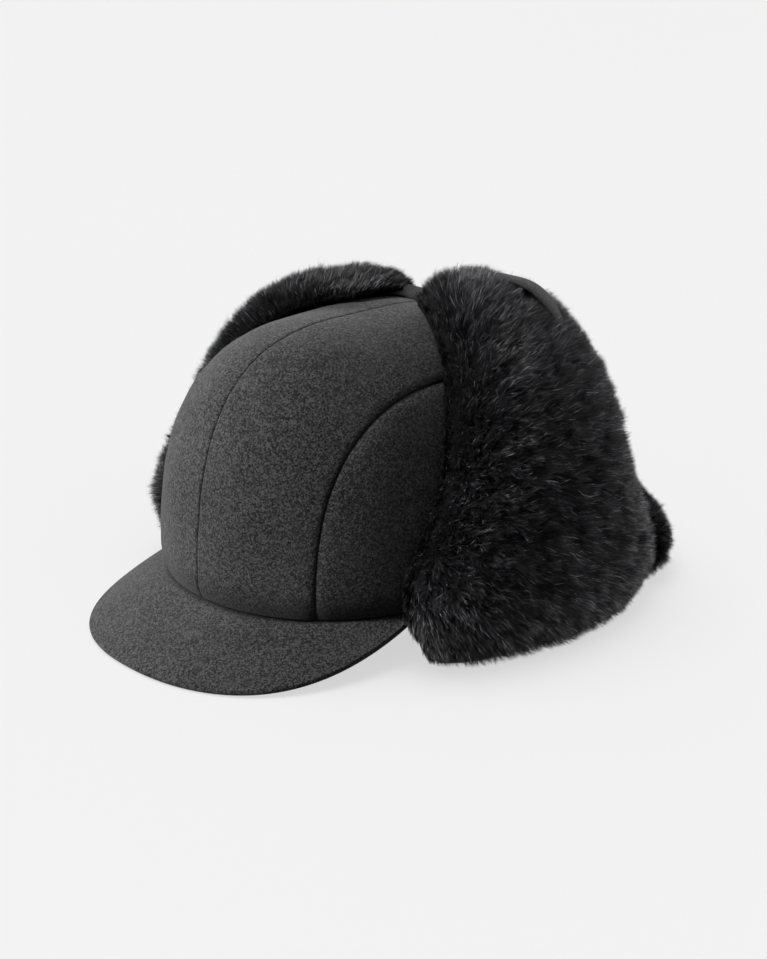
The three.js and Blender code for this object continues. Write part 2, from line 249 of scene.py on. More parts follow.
class Flow:
    """A socket of a shader, so that its maths is written as an expression."""

    def __init__(self, finish, socket):
        self.finish = finish
        self.socket = socket

    def _with(self, operation, first, second):
        return self.finish.node("ShaderNodeMath", {"operation": operation}, {0: first, 1: second})

    def __add__(self, other):
        return self._with("ADD", self, other)

    __radd__ = __add__

    def __mul__(self, other):
        return self._with("MULTIPLY", self, other)

    __rmul__ = __mul__

    def __pow__(self, other):
        return self._with("POWER", self, other)


class Finish:
    """A material that is put together from nodes."""

    def __init__(self, name, **surface):
        self.material = bpy.data.materials.new(name)
        self.material.use_nodes = True
        self.tree = self.material.node_tree
        self.surface = self.tree.nodes["Principled BSDF"]
        for socket, value in surface.items():
            self.surface.inputs[socket_name(socket)].default_value = value

    def node(self, kind, setup, values, output=0):
        made = self.tree.nodes.new(kind)
        for key, value in setup.items():
            setattr(made, key, value)
        for key, value in values.items():
            if isinstance(value, Flow):
                self.tree.links.new(value.socket, made.inputs[key])
            else:
                made.inputs[key].default_value = value
        return Flow(self, made.outputs[output])

    def place(self):
        return self.node("ShaderNodeTexCoord", {}, {}, "Object")

    def marks(self, name):
        """The two numbers that a UV map keeps."""
        both = self.node("ShaderNodeUVMap", {"uv_map": name}, {})
        first = self.node("ShaderNodeSeparateXYZ", {}, {0: both})
        return first, Flow(self, first.socket.node.outputs["Y"])

    def stretched(self, place, scale):
        return self.node("ShaderNodeMapping", {}, {"Vector": place, "Scale": scale})

    def noise(self, place, size, detail=2.0, roughness=0.5):
        """Grain of one size, in metres, from 0 to 1."""
        return self.node(
            "ShaderNodeTexNoise",
            {},
            {"Vector": place, "Scale": 1 / size, "Detail": detail, "Roughness": roughness},
            "Fac",
        )

    def spread(self, value, low, high, to_low=0.0, to_high=1.0):
        """Brings a range of a value to another range, and stops at its ends."""
        ends = {"From Min": low, "From Max": high, "To Min": to_low, "To Max": to_high}
        return self.node("ShaderNodeMapRange", {"clamp": True}, {"Value": value, **ends})

    def blend(self, share, first, second):
        return self.node(
            "ShaderNodeMix", {"data_type": "RGBA"}, {"Factor": share, 6: first, 7: second}, 2
        )

    def bump(self, height, depth, strength):
        return self.node(
            "ShaderNodeBump", {}, {"Height": height, "Distance": depth, "Strength": strength}
        )

    def feed(self, **sockets):
        for socket, value in sockets.items():
            self.tree.links.new(value.socket, self.surface.inputs[socket_name(socket)])
        return self.material


def tone(colour, factor):
    return (colour[0] * factor, colour[1] * factor, colour[2] * factor, 1.0)


def wool_finish(name, colour, grain):
    """Felted wool: mottled tone, a fine uneven nap, and painted shade in the seam creases and near
    the join of crown and peak.
    """
    wool = Finish(
        name, roughness=0.95, specular_ior_level=0.2, sheen_weight=0.12, sheen_roughness=0.5
    )
    place = wool.place()
    edge, rise = wool.marks("edge")
    cells = 1 / (0.7 * grain)
    cell = wool.node("ShaderNodeTexVoronoi", {}, {"Vector": place, "Scale": cells}, "Color")
    speck = wool.node("ShaderNodeSeparateColor", {}, {0: cell}, "Red")
    nap = wool.noise(wool.stretched(place, (1.0, 0.5, 1.3)), 1.0 * grain, 2.0, 0.6)
    cloud = wool.noise(place, 26 * MM, 2.0)
    mottle = speck**1.7 * 0.7 + nap * 0.4
    share = wool.spread(mottle, 0.16, 0.84) * 0.9 + wool.spread(cloud, 0.3, 0.7) * 0.1
    shade = wool.blend(share, tone(colour, 0.1), tone(colour, 2.9))
    # Painted shade: nearly black within a crease's width of a seam, and darker towards the join
    # over about 15 mm of rise.
    out_of_painted_shade = wool.spread(edge, 0.2, 0.8) * wool.spread(rise, -1.0, 15.0, 0.12, 1.0)
    shade = wool.blend(out_of_painted_shade, tone(colour, 0.06), shade)
    height = nap + speck * 0.3
    return wool.feed(base_color=shade, normal=wool.bump(height, 0.6 * MM, 1.0))


def fur_finish(colour):
    """Fur strands, each with its own tone: painted shade darkens each strand towards its root, and
    a few strands are much paler, partly as paler guard hairs and partly as painted glints.
    """
    fur = Finish("fur_strands", roughness=0.42, specular_ior_level=0.5)
    strand, along = fur.marks("strand")
    tip = fur.spread(along, 0.45, 1.0)
    # Painted glints: the rare strands at the top of the random value are made up to 60 times paler
    # than the fur on their outer half.
    share = tip * (0.02 + 0.055 * strand + 0.9 * strand**36)
    shade = fur.blend(share, tone(colour, 0.12), tone(colour, 60.0))
    rough = fur.spread(strand, 0.0, 1.0, 0.36, 0.52)
    return fur.feed(base_color=shade, roughness=rough)


def undercoat_finish(colour):
    """Dense short fur below the strands."""
    fur = Finish("fur_undercoat", roughness=0.9, specular_ior_level=0.1)
    place = fur.place()
    tuft = fur.noise(fur.stretched(place, (1.0, 0.3, 1.0)), 2.5 * MM, 3.0, 0.6)
    shade = fur.blend(fur.spread(tuft, 0.3, 0.7), tone(colour, 0.15), tone(colour, 0.6))
    return fur.feed(base_color=shade, normal=fur.bump(tuft, 2 * MM, 1.0))


def strap_finish(colour):
    """Closely woven strap cloth: fine ribs and a heathered grain."""
    cloth = Finish("strap_cloth", roughness=0.85, specular_ior_level=0.2)
    run = cloth.node("ShaderNodeUVMap", {"uv_map": "run"}, {})
    rib = cloth.node(
        "ShaderNodeTexWave",
        {"bands_direction": "Y"},
        {"Vector": run, "Scale": 0.45, "Distortion": 0.4},
    )
    grain = cloth.noise(cloth.place(), 1.0 * MM, 3.0, 0.6)
    share = rib * 0.25 + grain * 0.75
    shade = cloth.blend(cloth.spread(share, 0.38, 0.62), tone(colour, 0.2), tone(colour, 2.0))
    return cloth.feed(base_color=shade, normal=cloth.bump(share, 0.5 * MM, 0.8))


def floor_finish():
    paper = Finish("studio_floor", roughness=0.95, specular_ior_level=0.1)
    cloud = paper.noise(paper.place(), 0.7, 1.0)
    shade = paper.blend(cloud, (0.88, 0.88, 0.88, 1), (0.9, 0.9, 0.9, 1))
    return paper.feed(base_color=shade)


def unit(vectors):
    return vectors / np.maximum(np.linalg.norm(vectors, axis=-1, keepdims=True), 1e-9)


def signed_power(value, power):
    return np.sign(value) * np.abs(value) ** power


def plan_point(turn, shrink=0.0):
    """The rim seen from above, at a turn from the front, drawn in by a shrink."""
    length = np.where(np.cos(turn) > 0, FRONT, BACK) - shrink
    x = (HALF_WIDTH - shrink) * signed_power(np.sin(turn), 2 / SQUARENESS)
    return x, -length * signed_power(np.cos(turn), 2 / SQUARENESS)


def fullness(turn):
    side = np.sin(turn) ** 2
    return FULL_SIDE * side + np.where(np.cos(turn) > 0, FULL_FRONT, FULL_BACK) * (1 - side)


def crown_rise(spread, turn):
    full = fullness(turn)
    return CROWN_HEIGHT * np.maximum(0, 1 - spread**full) ** (1 / full)


def crown_point(turn, spread):
    """A point of the crown, from its apex (spread 0) to its rim (spread 1)."""
    x, y = plan_point(turn)
    y = -APEX_FORWARD + spread * (y + APEX_FORWARD)
    return np.stack([spread * x, y, RIM_HEIGHT + crown_rise(spread, turn)], -1)


def meridian(x, y):
    """How far out a point of the plan lies (0 to 1), and the turn of the meridian through it."""
    low, high = np.zeros(np.broadcast(x, y).shape), np.ones(np.broadcast(x, y).shape)
    for _ in range(30):
        spread = (low + high) / 2
        rim_y = -APEX_FORWARD + (y + APEX_FORWARD) / spread
        length = np.where(rim_y < 0, FRONT, BACK)
        side = np.abs(x / spread / HALF_WIDTH) ** SQUARENESS
        outside = side + np.abs(rim_y / length) ** SQUARENESS > 1
        low, high = np.where(outside, spread, low), np.where(outside, high, spread)
    turn = np.arcsin(np.sqrt(np.minimum(1, side)))
    return spread, np.where(rim_y < 0, turn, np.pi - turn)


def crown_height(x, y):
    spread, turn = meridian(x, y)
    return RIM_HEIGHT + crown_rise(spread, turn)


def crown_facing(points):
    """The way the crown's surface faces at each of its points."""
    # How fast the spread grows is the same all along a meridian, so it is read on one ring.
    ring, step = 0.8, 0.05
    x, y = points[:, 0], points[:, 1] + APEX_FORWARD
    spread, turn = meridian(x, y - APEX_FORWARD)
    full = fullness(turn)
    x, y = (ring * value / np.maximum(spread, 0.01) for value in (x, y))
    over_x = meridian(x + step, y - APEX_FORWARD)[0] - meridian(x - step, y - APEX_FORWARD)[0]
    over_y = meridian(x, y + step - APEX_FORWARD)[0] - meridian(x, y - step - APEX_FORWARD)[0]
    steep = spread ** (full - 1) / (2 * step)
    level = np.maximum(0, points[:, 2] - RIM_HEIGHT) / CROWN_HEIGHT
    return unit(np.stack([steep * over_x, steep * over_y, level ** (full - 1) / CROWN_HEIGHT], -1))


def along_crown(x, share):
    """The y at a share of the line at one x, from the rim in front (0) to the rim behind (1)."""
    reach = (1 - (x / HALF_WIDTH) ** SQUARENESS) ** (1 / SQUARENESS)
    front, back = -FRONT * reach, BACK * reach
    return (front + back) / 2 - (back - front) / 2 * np.cos(np.pi * share)


def rim_half_width(y):
    share = np.abs(y / np.where(y < 0, FRONT, BACK)) ** SQUARENESS
    return HALF_WIDTH * np.maximum(0, 1 - share) ** (1 / SQUARENESS)


def crown_reach(y, angle):
    """Distance from a section's centre to the crown, at an angle above level."""
    width = rim_half_width(y)
    at_rim = width / np.cos(angle)
    low, high = np.full(y.shape, 10.0), np.full(y.shape, float(CROWN_HEIGHT))
    for _ in range(22):
        reach = (low + high) / 2
        x, z = reach * np.cos(angle), SECTION_HEIGHT + reach * np.sin(angle)
        inside = (x < width) & (z < crown_height(np.minimum(x, width - 0.01), y))
        low, high = np.where(inside, reach, low), np.where(inside, high, reach)
    return np.where(SECTION_HEIGHT + at_rim * np.sin(angle) < RIM_HEIGHT, at_rim, low)


REACH_Y = np.linspace(-80, 93, 130)
REACH_ANGLE = np.radians(np.linspace(-42, 90, 130))
REACH = crown_reach(*np.meshgrid(REACH_Y, REACH_ANGLE, indexing="ij"))


def quick_reach(y, angle):
    """The crown's reach, read smoothly from a table that is worked out once."""
    i = np.clip((y - REACH_Y[0]) / (REACH_Y[1] - REACH_Y[0]), 0, len(REACH_Y) - 1.001)
    j = (angle - REACH_ANGLE[0]) / (REACH_ANGLE[1] - REACH_ANGLE[0])
    j = np.clip(j, 0, len(REACH_ANGLE) - 1.001)
    a, b = i.astype(int), j.astype(int)
    s, t = i - a, j - b
    near = REACH[a, b] * (1 - t) + REACH[a, b + 1] * t
    far = REACH[a + 1, b] * (1 - t) + REACH[a + 1, b + 1] * t
    return near * (1 - s) + far * s


def column(rows, place):
    """A smooth value at a place 0 to 1 along a column of numbers."""
    rows = np.asarray(rows, float)
    scaled = np.clip(place, 0, 1) * (len(rows) - 1)
    index = np.minimum(scaled.astype(int), len(rows) - 2)
    share = scaled - index
    before, start, end, after = (
        rows[np.clip(index + k, 0, len(rows) - 1)] for k in (-1, 0, 1, 2)
    )
    cubic = 3 * (start - end) + after - before
    curve = 2 * before - 5 * start + 4 * end - after + share * cubic
    return start + 0.5 * share * (end - before + share * curve)


def rounded(share):
    return np.maximum(0, 1 - np.abs(2 * share - 1) ** ROUNDNESS) ** (1 / ROUNDNESS)


def fur_depth(deepest, u, v):
    return LEAF + (deepest - LEAF) * rounded(u) * rounded(v)


def against_crown(y, angle):
    reach = quick_reach(y, angle)
    return np.stack([reach * np.cos(angle), y, SECTION_HEIGHT + reach * np.sin(angle)], -1)


class EarFlap:
    """One ear flap: u runs from its front edge to its back, v from its bottom to its top."""

    def __init__(self, side):
        self.side = side
        self.rows = LEFT_FLAP if side > 0 else RIGHT_FLAP

    def depth(self, u, v):
        deepest = column(self.rows["fur"], v) + column(self.rows["swell"], v) * u**2
        return fur_depth(deepest, u, v)

    def point(self, u, v, above):
        """A point at a height above the flap's inner face."""
        angle = np.radians(column(FLAP_ANGLE, v))
        front, back = column(self.rows["front"], v), column(self.rows["back"], v)
        y = front + (back - front) * u
        base = against_crown(y, angle)
        step, lift = 2, math.radians(2)
        over_y = against_crown(y + step, angle) - against_crown(y - step, angle)
        over_angle = against_crown(y, angle + lift) - against_crown(y, angle - lift)
        base = base + unit(np.cross(over_y, over_angle)) * (FLAP_CLEARANCE + above)[..., None]
        return base * np.array([self.side, 1, 1])

    def kept(self, points):
        """True where a point is ahead of the parting and above the surface the hat stands on."""
        return (points[..., 2] > 0) & ~behind_parting(points, self.side)

    def comb(self, u, v):
        """How far the fur is combed to the back and upwards, more so near the top."""
        near_top = np.clip((v - 0.6) / 0.3, 0, 1)
        return 0.8 + 0.5 * near_top, 1.2 * (v - 0.62)


class NeckFlap:
    """The cuff round the back: u runs from its left end to its right, v from bottom to top."""

    side = 0

    def depth(self, u, v):
        return fur_depth(column(NECK_FUR, v), u, v)

    def point(self, u, v, above):
        level = column(NECK_LEVEL, v)
        turn = np.pi + np.radians(column(NECK_TURN, v)) * (1 - 2 * u)
        full = fullness(turn)
        rise = np.maximum(0, level - RIM_HEIGHT) / CROWN_HEIGHT
        spread = (1 - rise**full) ** (1 / full)
        x, y = plan_point(turn)
        out = NECK_CLEARANCE + column(NECK_STAND, v) + above
        away = unit(np.stack([x, y], -1)) * out[..., None]
        y = -APEX_FORWARD + spread * (y + APEX_FORWARD)
        return np.stack([spread * x + away[..., 0], y + away[..., 1], level], -1)

    def kept(self, points):
        """True where a point is behind both partings and above the surface the hat stands on."""
        left, right = (behind_parting(points, side, all_heights=True) for side in (1, -1))
        return (points[..., 2] > 0) & left & right

    def comb(self, u, v):
        """How far the fur is combed away from the middle and upwards, at each place."""
        return 1.6 * (u - 0.5), 1.2 * (v - 0.6)


def behind_parting(points, side, all_heights=False):
    """True behind the upright cut between an ear flap and the neck flap."""
    turn = math.radians(PARTING_TURN)
    x, y = points[..., 0] * side - PARTING_POINT[0], points[..., 1] - PARTING_POINT[1]
    behind = y * math.sin(turn) + x * math.cos(turn) > 0
    return behind if all_heights else behind & (points[..., 2] < PARTING_TOP)


def strap_run(count):
    """Points of the strap's middle line, with the ways ahead, across and up at each."""
    rows = np.array(STRAP_LINE, float)
    place = np.linspace(0, 1, count)
    line = np.stack([column(rows[:, k], place) for k in range(3)], -1)
    ahead = unit(np.gradient(line, axis=0))
    level = unit(np.stack([-ahead[:, 1], ahead[:, 0], 0 * ahead[:, 0]], -1))
    up = unit(np.cross(ahead, level))
    sunk = np.clip((place - 0.76) / 0.2, 0, 1) ** 2
    line = line - up * (STRAP_SINK * sunk)[:, None]
    tilt = (math.radians(STRAP_TILT) * np.clip((line[:, 0] - 14) / 24, 0, 1))[:, None]
    across = level * np.cos(tilt) - up * np.sin(tilt)
    return line, ahead, across, up * np.cos(tilt) + level * np.sin(tilt)


def ripple(points):
    """A slow unevenness of sewn cloth, from -1 to 1."""
    x, y, z = points[..., 0], points[..., 1], points[..., 2]
    slow = np.sin(0.071 * x + 0.052 * y + 1.3) * np.sin(0.063 * z - 0.047 * y + 0.4)
    quick = np.sin(0.16 * x - 0.12 * z + 2.1) * np.sin(0.14 * y + 0.11 * z)
    return 0.65 * slow + 0.35 * quick


def to_row(points):
    """Millimetres of the hat's own drawing to metres of the row frame."""
    return (points + SHIFT) * MM


def new_piece(name, mesh, material, slot, *nodes):
    piece = bpy.data.objects.new(name, mesh)
    bpy.context.scene.collection.objects.link(piece)
    piece.data.materials.append(material)
    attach(piece, "root")
    if nodes:
        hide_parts(*nodes)
    return piece


def finish_mesh(form, name):
    """Ends a bmesh with smooth faces, and gives its mesh."""
    for face in form.faces:
        face.smooth = True
    mesh = bpy.data.meshes.new(name)
    form.to_mesh(mesh)
    form.free()
    return mesh


def closed(form):
    """Joins the seam of a rolled-up grid and closes its ends."""
    bmesh.ops.remove_doubles(form, verts=form.verts, dist=0.01 * MM)
    bmesh.ops.holes_fill(form, edges=[edge for edge in form.edges if edge.is_boundary], sides=0)
    bmesh.ops.recalc_face_normals(form, faces=form.faces)
    return form


def move_vertices(form, place):
    """Moves every vertex of a bmesh to the place worked out from where it is."""
    found = np.array([vertex.co[:] for vertex in form.verts])
    for vertex, point in zip(form.verts, to_row(place(found))):
        vertex.co = point


def mark(form, name, marks):
    """Keeps two numbers of every vertex as a UV map."""
    layer = form.loops.layers.uv.new(name)
    form.verts.index_update()
    for face in form.faces:
        for loop in face.loops:
            loop[layer].uv = marks[loop.vert.index]


def grid(columns, rows, place):
    """A grid over u and v, each 0 to 1, with every vertex moved to its place and marked."""
    form = bmesh.new()
    bmesh.ops.create_grid(form, x_segments=columns, y_segments=rows, size=0.5)
    kept = []

    def placed(found):
        points, marks = place(found[:, 0] + 0.5, found[:, 1] + 0.5)
        kept.append(marks)
        return points

    move_vertices(form, placed)
    mark(form, "edge", kept[0])
    return form


def face_away(form, centre):
    """Turns a grid's faces away from a point."""
    form.normal_update()
    way = sum(
        face.normal.dot(face.calc_center_median() - centre) * face.calc_area()
        for face in form.faces
    )
    if way < 0:
        bmesh.ops.reverse_faces(form, faces=form.faces)


def eased(share):
    """Crowds a grid's lines towards both of its edges."""
    return 0.5 - 0.5 * np.cos(np.pi * share)


def crowded_ends(share):
    """Crowds a grid's lines strongly towards both edges, where the crown drops to its rim."""
    near = 0.5 * (2 * np.minimum(share, 1 - share)) ** 1.9
    return np.where(share < 0.5, near, 1 - near)


def side_seam(share):
    """Distance of the curved side seam from the middle, from front (share 0) to back (share 1)."""
    return CENTRE_PANEL - SEAM_DRAWN_IN * np.sin(np.pi * share) ** SEAM_CURVE


def side_seam_points(count):
    share = crowded_ends(np.linspace(0, 1, count))
    x = side_seam(share)
    y = along_crown(x, share)
    return np.stack([x, y, crown_height(x, y)], -1)


def seam_turn(distance, dip, soft, reach):
    """How far cloth turns in near a seam: a crisp crease at the end of a soft shoulder."""
    distance = np.abs(distance)
    crease = np.exp(-((distance / CREASE_WIDTH) ** 1.2))
    return dip * crease + soft * np.maximum(0, 1 - distance / reach) ** 2.5


def rim_turn(height, roll):
    """How far cloth turns in towards the rim, at a height above it."""
    return roll * np.maximum(0, 1 - np.maximum(height, 0) / RIM_TURN_REACH) ** 2


def with_wall(piece, thickness):
    wall = piece.modifiers.new("wall", "SOLIDIFY")
    wall.thickness = thickness
    wall.offset = -1
    wall.use_even_offset = True


class CAP_OT_crown(bpy.types.Operator):
    """Sew the four panels of the crown"""

    bl_idname = "cap.crown"
    bl_label = "Crown panels"

    def execute(self, context):
        sizes = settings()
        dip, roll, uneven = sizes.seam_dip / MM, sizes.rim_roll / MM, sizes.ripple / MM
        wool = wool_finish("crown_wool", sizes.wool_colour, MM)
        middle = Vector(to_row(np.array([0, 0, 60.0])))
        seam = side_seam_points(6000)

        def off_seam(flat):
            return np.linalg.norm(flat - seam[nearest(seam, flat)], axis=-1)

        def turned_in(flat, from_seam, crease):
            """The points turned in at the seams and the rim, and how far each is from them, which
            the wool's painted shade reads.
            """
            rise = flat[:, 2] - RIM_HEIGHT
            inward = crease + rim_turn(rise, roll) - uneven * ripple(flat)
            return flat - crown_facing(flat) * inward[:, None], np.stack([from_seam, rise], -1)

        def top(side):
            def place(u, v):
                u = crowded_ends(u)
                x = side_seam(u) * eased(v)
                y = along_crown(x, u)
                flat = np.stack([x, y, crown_height(x, y)], -1)
                from_side = off_seam(flat)
                crease = seam_turn(x, 0.5 * dip, 0.1, 4) + seam_turn(from_side, 0.6 * dip, 0.9, 5)
                point, marks = turned_in(flat, np.minimum(1.8 * x, from_side), crease)
                return point * [side, 1, 1], marks

            return place

        def below_seam(side):
            def place(u, v):
                u = crowded_ends(u)
                x = side_seam(u)
                spread, turn = meridian(x, along_crown(x, u))
                left = 1 - v**1.8
                level = crown_rise(spread, turn) * left
                turn = np.pi / 2 + (turn - np.pi / 2) * left
                full = fullness(turn)
                flat = crown_point(turn, (1 - (level / CROWN_HEIGHT) ** full) ** (1 / full))
                from_seam = off_seam(flat)
                point, marks = turned_in(flat, from_seam, seam_turn(from_seam, 0.2 * dip, 1.3, 9))
                return point * [side, 1, 1], marks

            return place

        for name, side in (("left", 1), ("right", -1)):
            for part, place, lines, flat, area in (
                ("crown_top", top(side), (110, 44), (0.063, 0.385), 0.0240),
                ("crown_side", below_seam(side), (110, 50), (0.115, 0.33), 0.0168),
            ):
                form = grid(*lines, place)
                bmesh.ops.remove_doubles(form, verts=form.verts, dist=0.005 * MM)
                face_away(form, middle)
                mesh = finish_mesh(form, f"{part}_{name}_panel")
                panel = new_piece(f"{part}_{name}_panel", mesh, wool, "wool", f"{part}_{name}")
                with_wall(panel, sizes.wall)
        return {"FINISHED"}


class CAP_OT_peak(bpy.types.Operator):
    """Cover the peak with wool and round its edge"""

    bl_idname = "cap.peak"
    bl_label = "Peak"

    def execute(self, context):
        wool = wool_finish("peak_wool", settings().wool_colour, MM)
        around = peak_section(26)
        kept = []

        def place(found):
            share = found[:, 0] * 2
            index = np.rint((found[:, 1] + 0.5) * (len(around) - 1)).astype(int)
            outward, level = around[index].T
            flat = np.clip(outward, 0, 1)
            turn = math.radians(PEAK_HALF_TURN) * share
            depth = np.maximum(0, 1 - np.abs(share) ** 5) ** 0.93
            x, y = plan_point(turn, PEAK_SEWN)
            width = PEAK_SEWN + PEAK_REACH * depth
            thick = PEAK_THICKNESS + (PEAK_EDGE - PEAK_THICKNESS) * flat
            out = width * flat + (outward - flat) * PEAK_EDGE
            lean = math.radians(PEAK_SPLAY) * share
            fall = (PEAK_TOP - PEAK_EDGE - PEAK_OFF_FLOOR) * depth * flat**1.12
            # Painted shade darkens the wool where it turns in, here for 2 mm along the join.
            kept.append(np.stack([0 * out + 9, 8 * (out - 2.2) + 16 * level], -1))
            z = PEAK_TOP - fall - thick * level
            return np.stack([x + out * np.sin(lean), y - out * np.cos(lean), z], -1)

        form = bmesh.new()
        bmesh.ops.create_grid(form, x_segments=150, y_segments=len(around) - 1, size=0.5)
        move_vertices(form, place)
        mark(form, "edge", kept[0])
        mesh = finish_mesh(closed(form), "peak_cover")
        peak = new_piece("peak_cover", mesh, wool, "peak_wool", "peak")
        return {"FINISHED"}


def peak_section(steps):
    """The peak's section, as outward shares and levels: over the top, round the edge and under."""
    outward = eased(np.linspace(0, 1, steps)) ** 0.8
    top = np.stack([outward, 0 * outward], -1)
    round_edge = np.linspace(0, np.pi, 9)[1:-1]
    edge = np.stack([1 + 0.5 * np.sin(round_edge), 0.5 - 0.5 * np.cos(round_edge)], -1)
    under = np.stack([outward[::-1], 1 + 0 * outward], -1)
    return np.concatenate([top, edge, under, top[:1]])


class CAP_OT_strap(bpy.types.Operator):
    """Lay the strap over the crown"""

    bl_idname = "cap.strap"
    bl_label = "Strap"

    def execute(self, context):
        line, ahead, across, up = strap_run(72)
        rounding = np.linspace(0, np.pi, 5)[1:-1]
        level = STRAP_THICKNESS / 2
        half = STRAP_WIDTH / 2 - level
        droop = 0.9
        over = np.linspace(-1, 1, 11)
        above = [(s * half, level - droop * s**4) for s in over]
        right = [(half + level * math.sin(a), level * math.cos(a) - droop) for a in rounding]
        below = [(-s * half, -level - droop * s**4) for s in over]
        left = [(-x, y) for x, y in reversed(right)]
        section = np.array([*above, *right, *below, *left, above[0]])

        def place(found):
            i = np.rint((found[:, 0] + 0.5) * (len(line) - 1)).astype(int)
            offset = section[np.rint((found[:, 1] + 0.5) * (len(section) - 1)).astype(int)]
            return line[i] + across[i] * offset[:, :1] + up[i] * offset[:, 1:]

        form = bmesh.new()
        lines, rows = len(line) - 1, len(section) - 1
        bmesh.ops.create_grid(form, x_segments=lines, y_segments=rows, size=0.5)
        mark(form, "run", [((v.co.x + 0.5) * 100, (v.co.y + 0.5) * 36) for v in form.verts])
        move_vertices(form, place)
        mesh = finish_mesh(closed(form), "top_strap_band")
        cloth = strap_finish(settings().strap_colour)
        strap = new_piece("top_strap_band", mesh, cloth, "strap", "top_strap")
        return {"FINISHED"}


def block(cuts):
    """A cube cut into a fine block: many lines along x and y, and one layer through z."""
    form = bmesh.new()
    bmesh.ops.create_cube(form, size=1)
    for axis in (0, 1):
        edges = [
            edge
            for edge in form.edges
            if abs(edge.verts[0].co[axis] - edge.verts[1].co[axis]) > 0.5
        ]
        bmesh.ops.subdivide_edges(form, edges=edges, cuts=cuts, use_grid_fill=True)
    return form


def undercoat(flap, name, node, finish):
    """The dense fur under the strands, cut flat at the surface the hat stands on."""
    form = block(52)

    def place(found):
        u, v, w = (found + 0.5).T
        u, v = 0.02 + 0.96 * eased(u), 0.02 + 0.96 * eased(v)
        depth = flap.depth(u, v)
        low = np.minimum(1.0, 0.3 * depth)
        high = np.maximum(depth - UNDERCOAT_INSET, 0.5 * depth)
        high = high - pressed_by_strap(flap.point(u, v, depth), 4)
        return flap.point(u, v, low + w * (high - low))

    move_vertices(form, place)
    turn = math.radians(PARTING_TURN)
    cuts = [(to_row(np.array([0, 0, UNDERCOAT_LOWEST])), (0, 0, -1))]
    if flap.side == 0:
        for side in (1, -1):
            co = to_row(np.array([PARTING_POINT[0] * side, PARTING_POINT[1], 0.0]))
            cuts.append((co, (-side * math.cos(turn), -math.sin(turn), 0.0)))
    for co, way in cuts:
        found = bmesh.ops.bisect_plane(
            form,
            geom=[*form.verts, *form.edges, *form.faces],
            plane_co=Vector(co),
            plane_no=Vector(way),
            clear_outer=True,
        )
        rim = [item for item in found["geom_cut"] if isinstance(item, bmesh.types.BMEdge)]
        bmesh.ops.holes_fill(form, edges=rim, sides=0)
    bmesh.ops.recalc_face_normals(form, faces=form.faces)
    piece = new_piece(name, finish_mesh(form, name), finish, "fur", node)


def sprinkled(flap, count, dice):
    """Roots spread evenly over the outer face of a flap's fur, as places u and v."""
    lines = 220
    step = np.arange(lines + 1) / lines
    u, v = np.meshgrid(eased(step), eased(step), indexing="ij")
    net = flap.point(u, v, flap.depth(u, v))
    across, along = net[1:, :-1] - net[:-1, :-1], net[:-1, 1:] - net[:-1, :-1]
    area = np.linalg.norm(np.cross(across, along), axis=-1)
    area = area * flap.kept(net[:-1, :-1])
    cell = dice.choice(area.size, count, p=(area / area.sum()).ravel())
    i, j = np.divmod(cell, lines)
    return eased((i + dice.random(count)) / lines), eased((j + dice.random(count)) / lines)


def waves(points, size, dice, count=9):
    """A smooth random unevenness of one size over space, about -1 to 1."""
    ways = unit(dice.normal(size=(count, 3))) * dice.uniform(0.7, 1.4, count)[:, None]
    start = dice.uniform(0, 2 * np.pi, count)
    return np.sin(points @ (ways * 2 * np.pi / size).T + start).sum(-1) / math.sqrt(count)


def pressed_by_strap(points, deepest):
    """How far the fur is pressed down where the strap lies on it."""
    middle = strap_run(STRAP_STEPS)[0]
    away = np.linalg.norm(points[:, None, :2] - middle[None, :, :2], axis=-1)
    near = away.argmin(1)
    first, last = STRAP_PRESSES
    fade = np.clip((near - first) / 4, 0, 1) * np.clip((last - near) / 4, 0, 1)
    far_below = points[:, 2] < 110
    reach = np.where(points[:, 1] > middle[near, 1], 13, 8)
    return np.where(far_below, 0, deepest * fade * np.exp(-((away.min(1) / reach) ** 2)))


def broad_facing(flap, u, v):
    """The way the fur faces, evened out over a wide patch around each place."""
    wide_u, wide_v = 0.13, 0.09

    def face(u, v):
        u, v = np.clip(u, 0.001, 0.999), np.clip(v, 0.001, 0.999)
        return flap.point(u, v, flap.depth(u, v))

    over_u = face(u + wide_u, v) - face(u - wide_u, v)
    over_v = face(u, v + wide_v) - face(u, v - wide_v)
    return unit(np.cross(over_u, over_v))


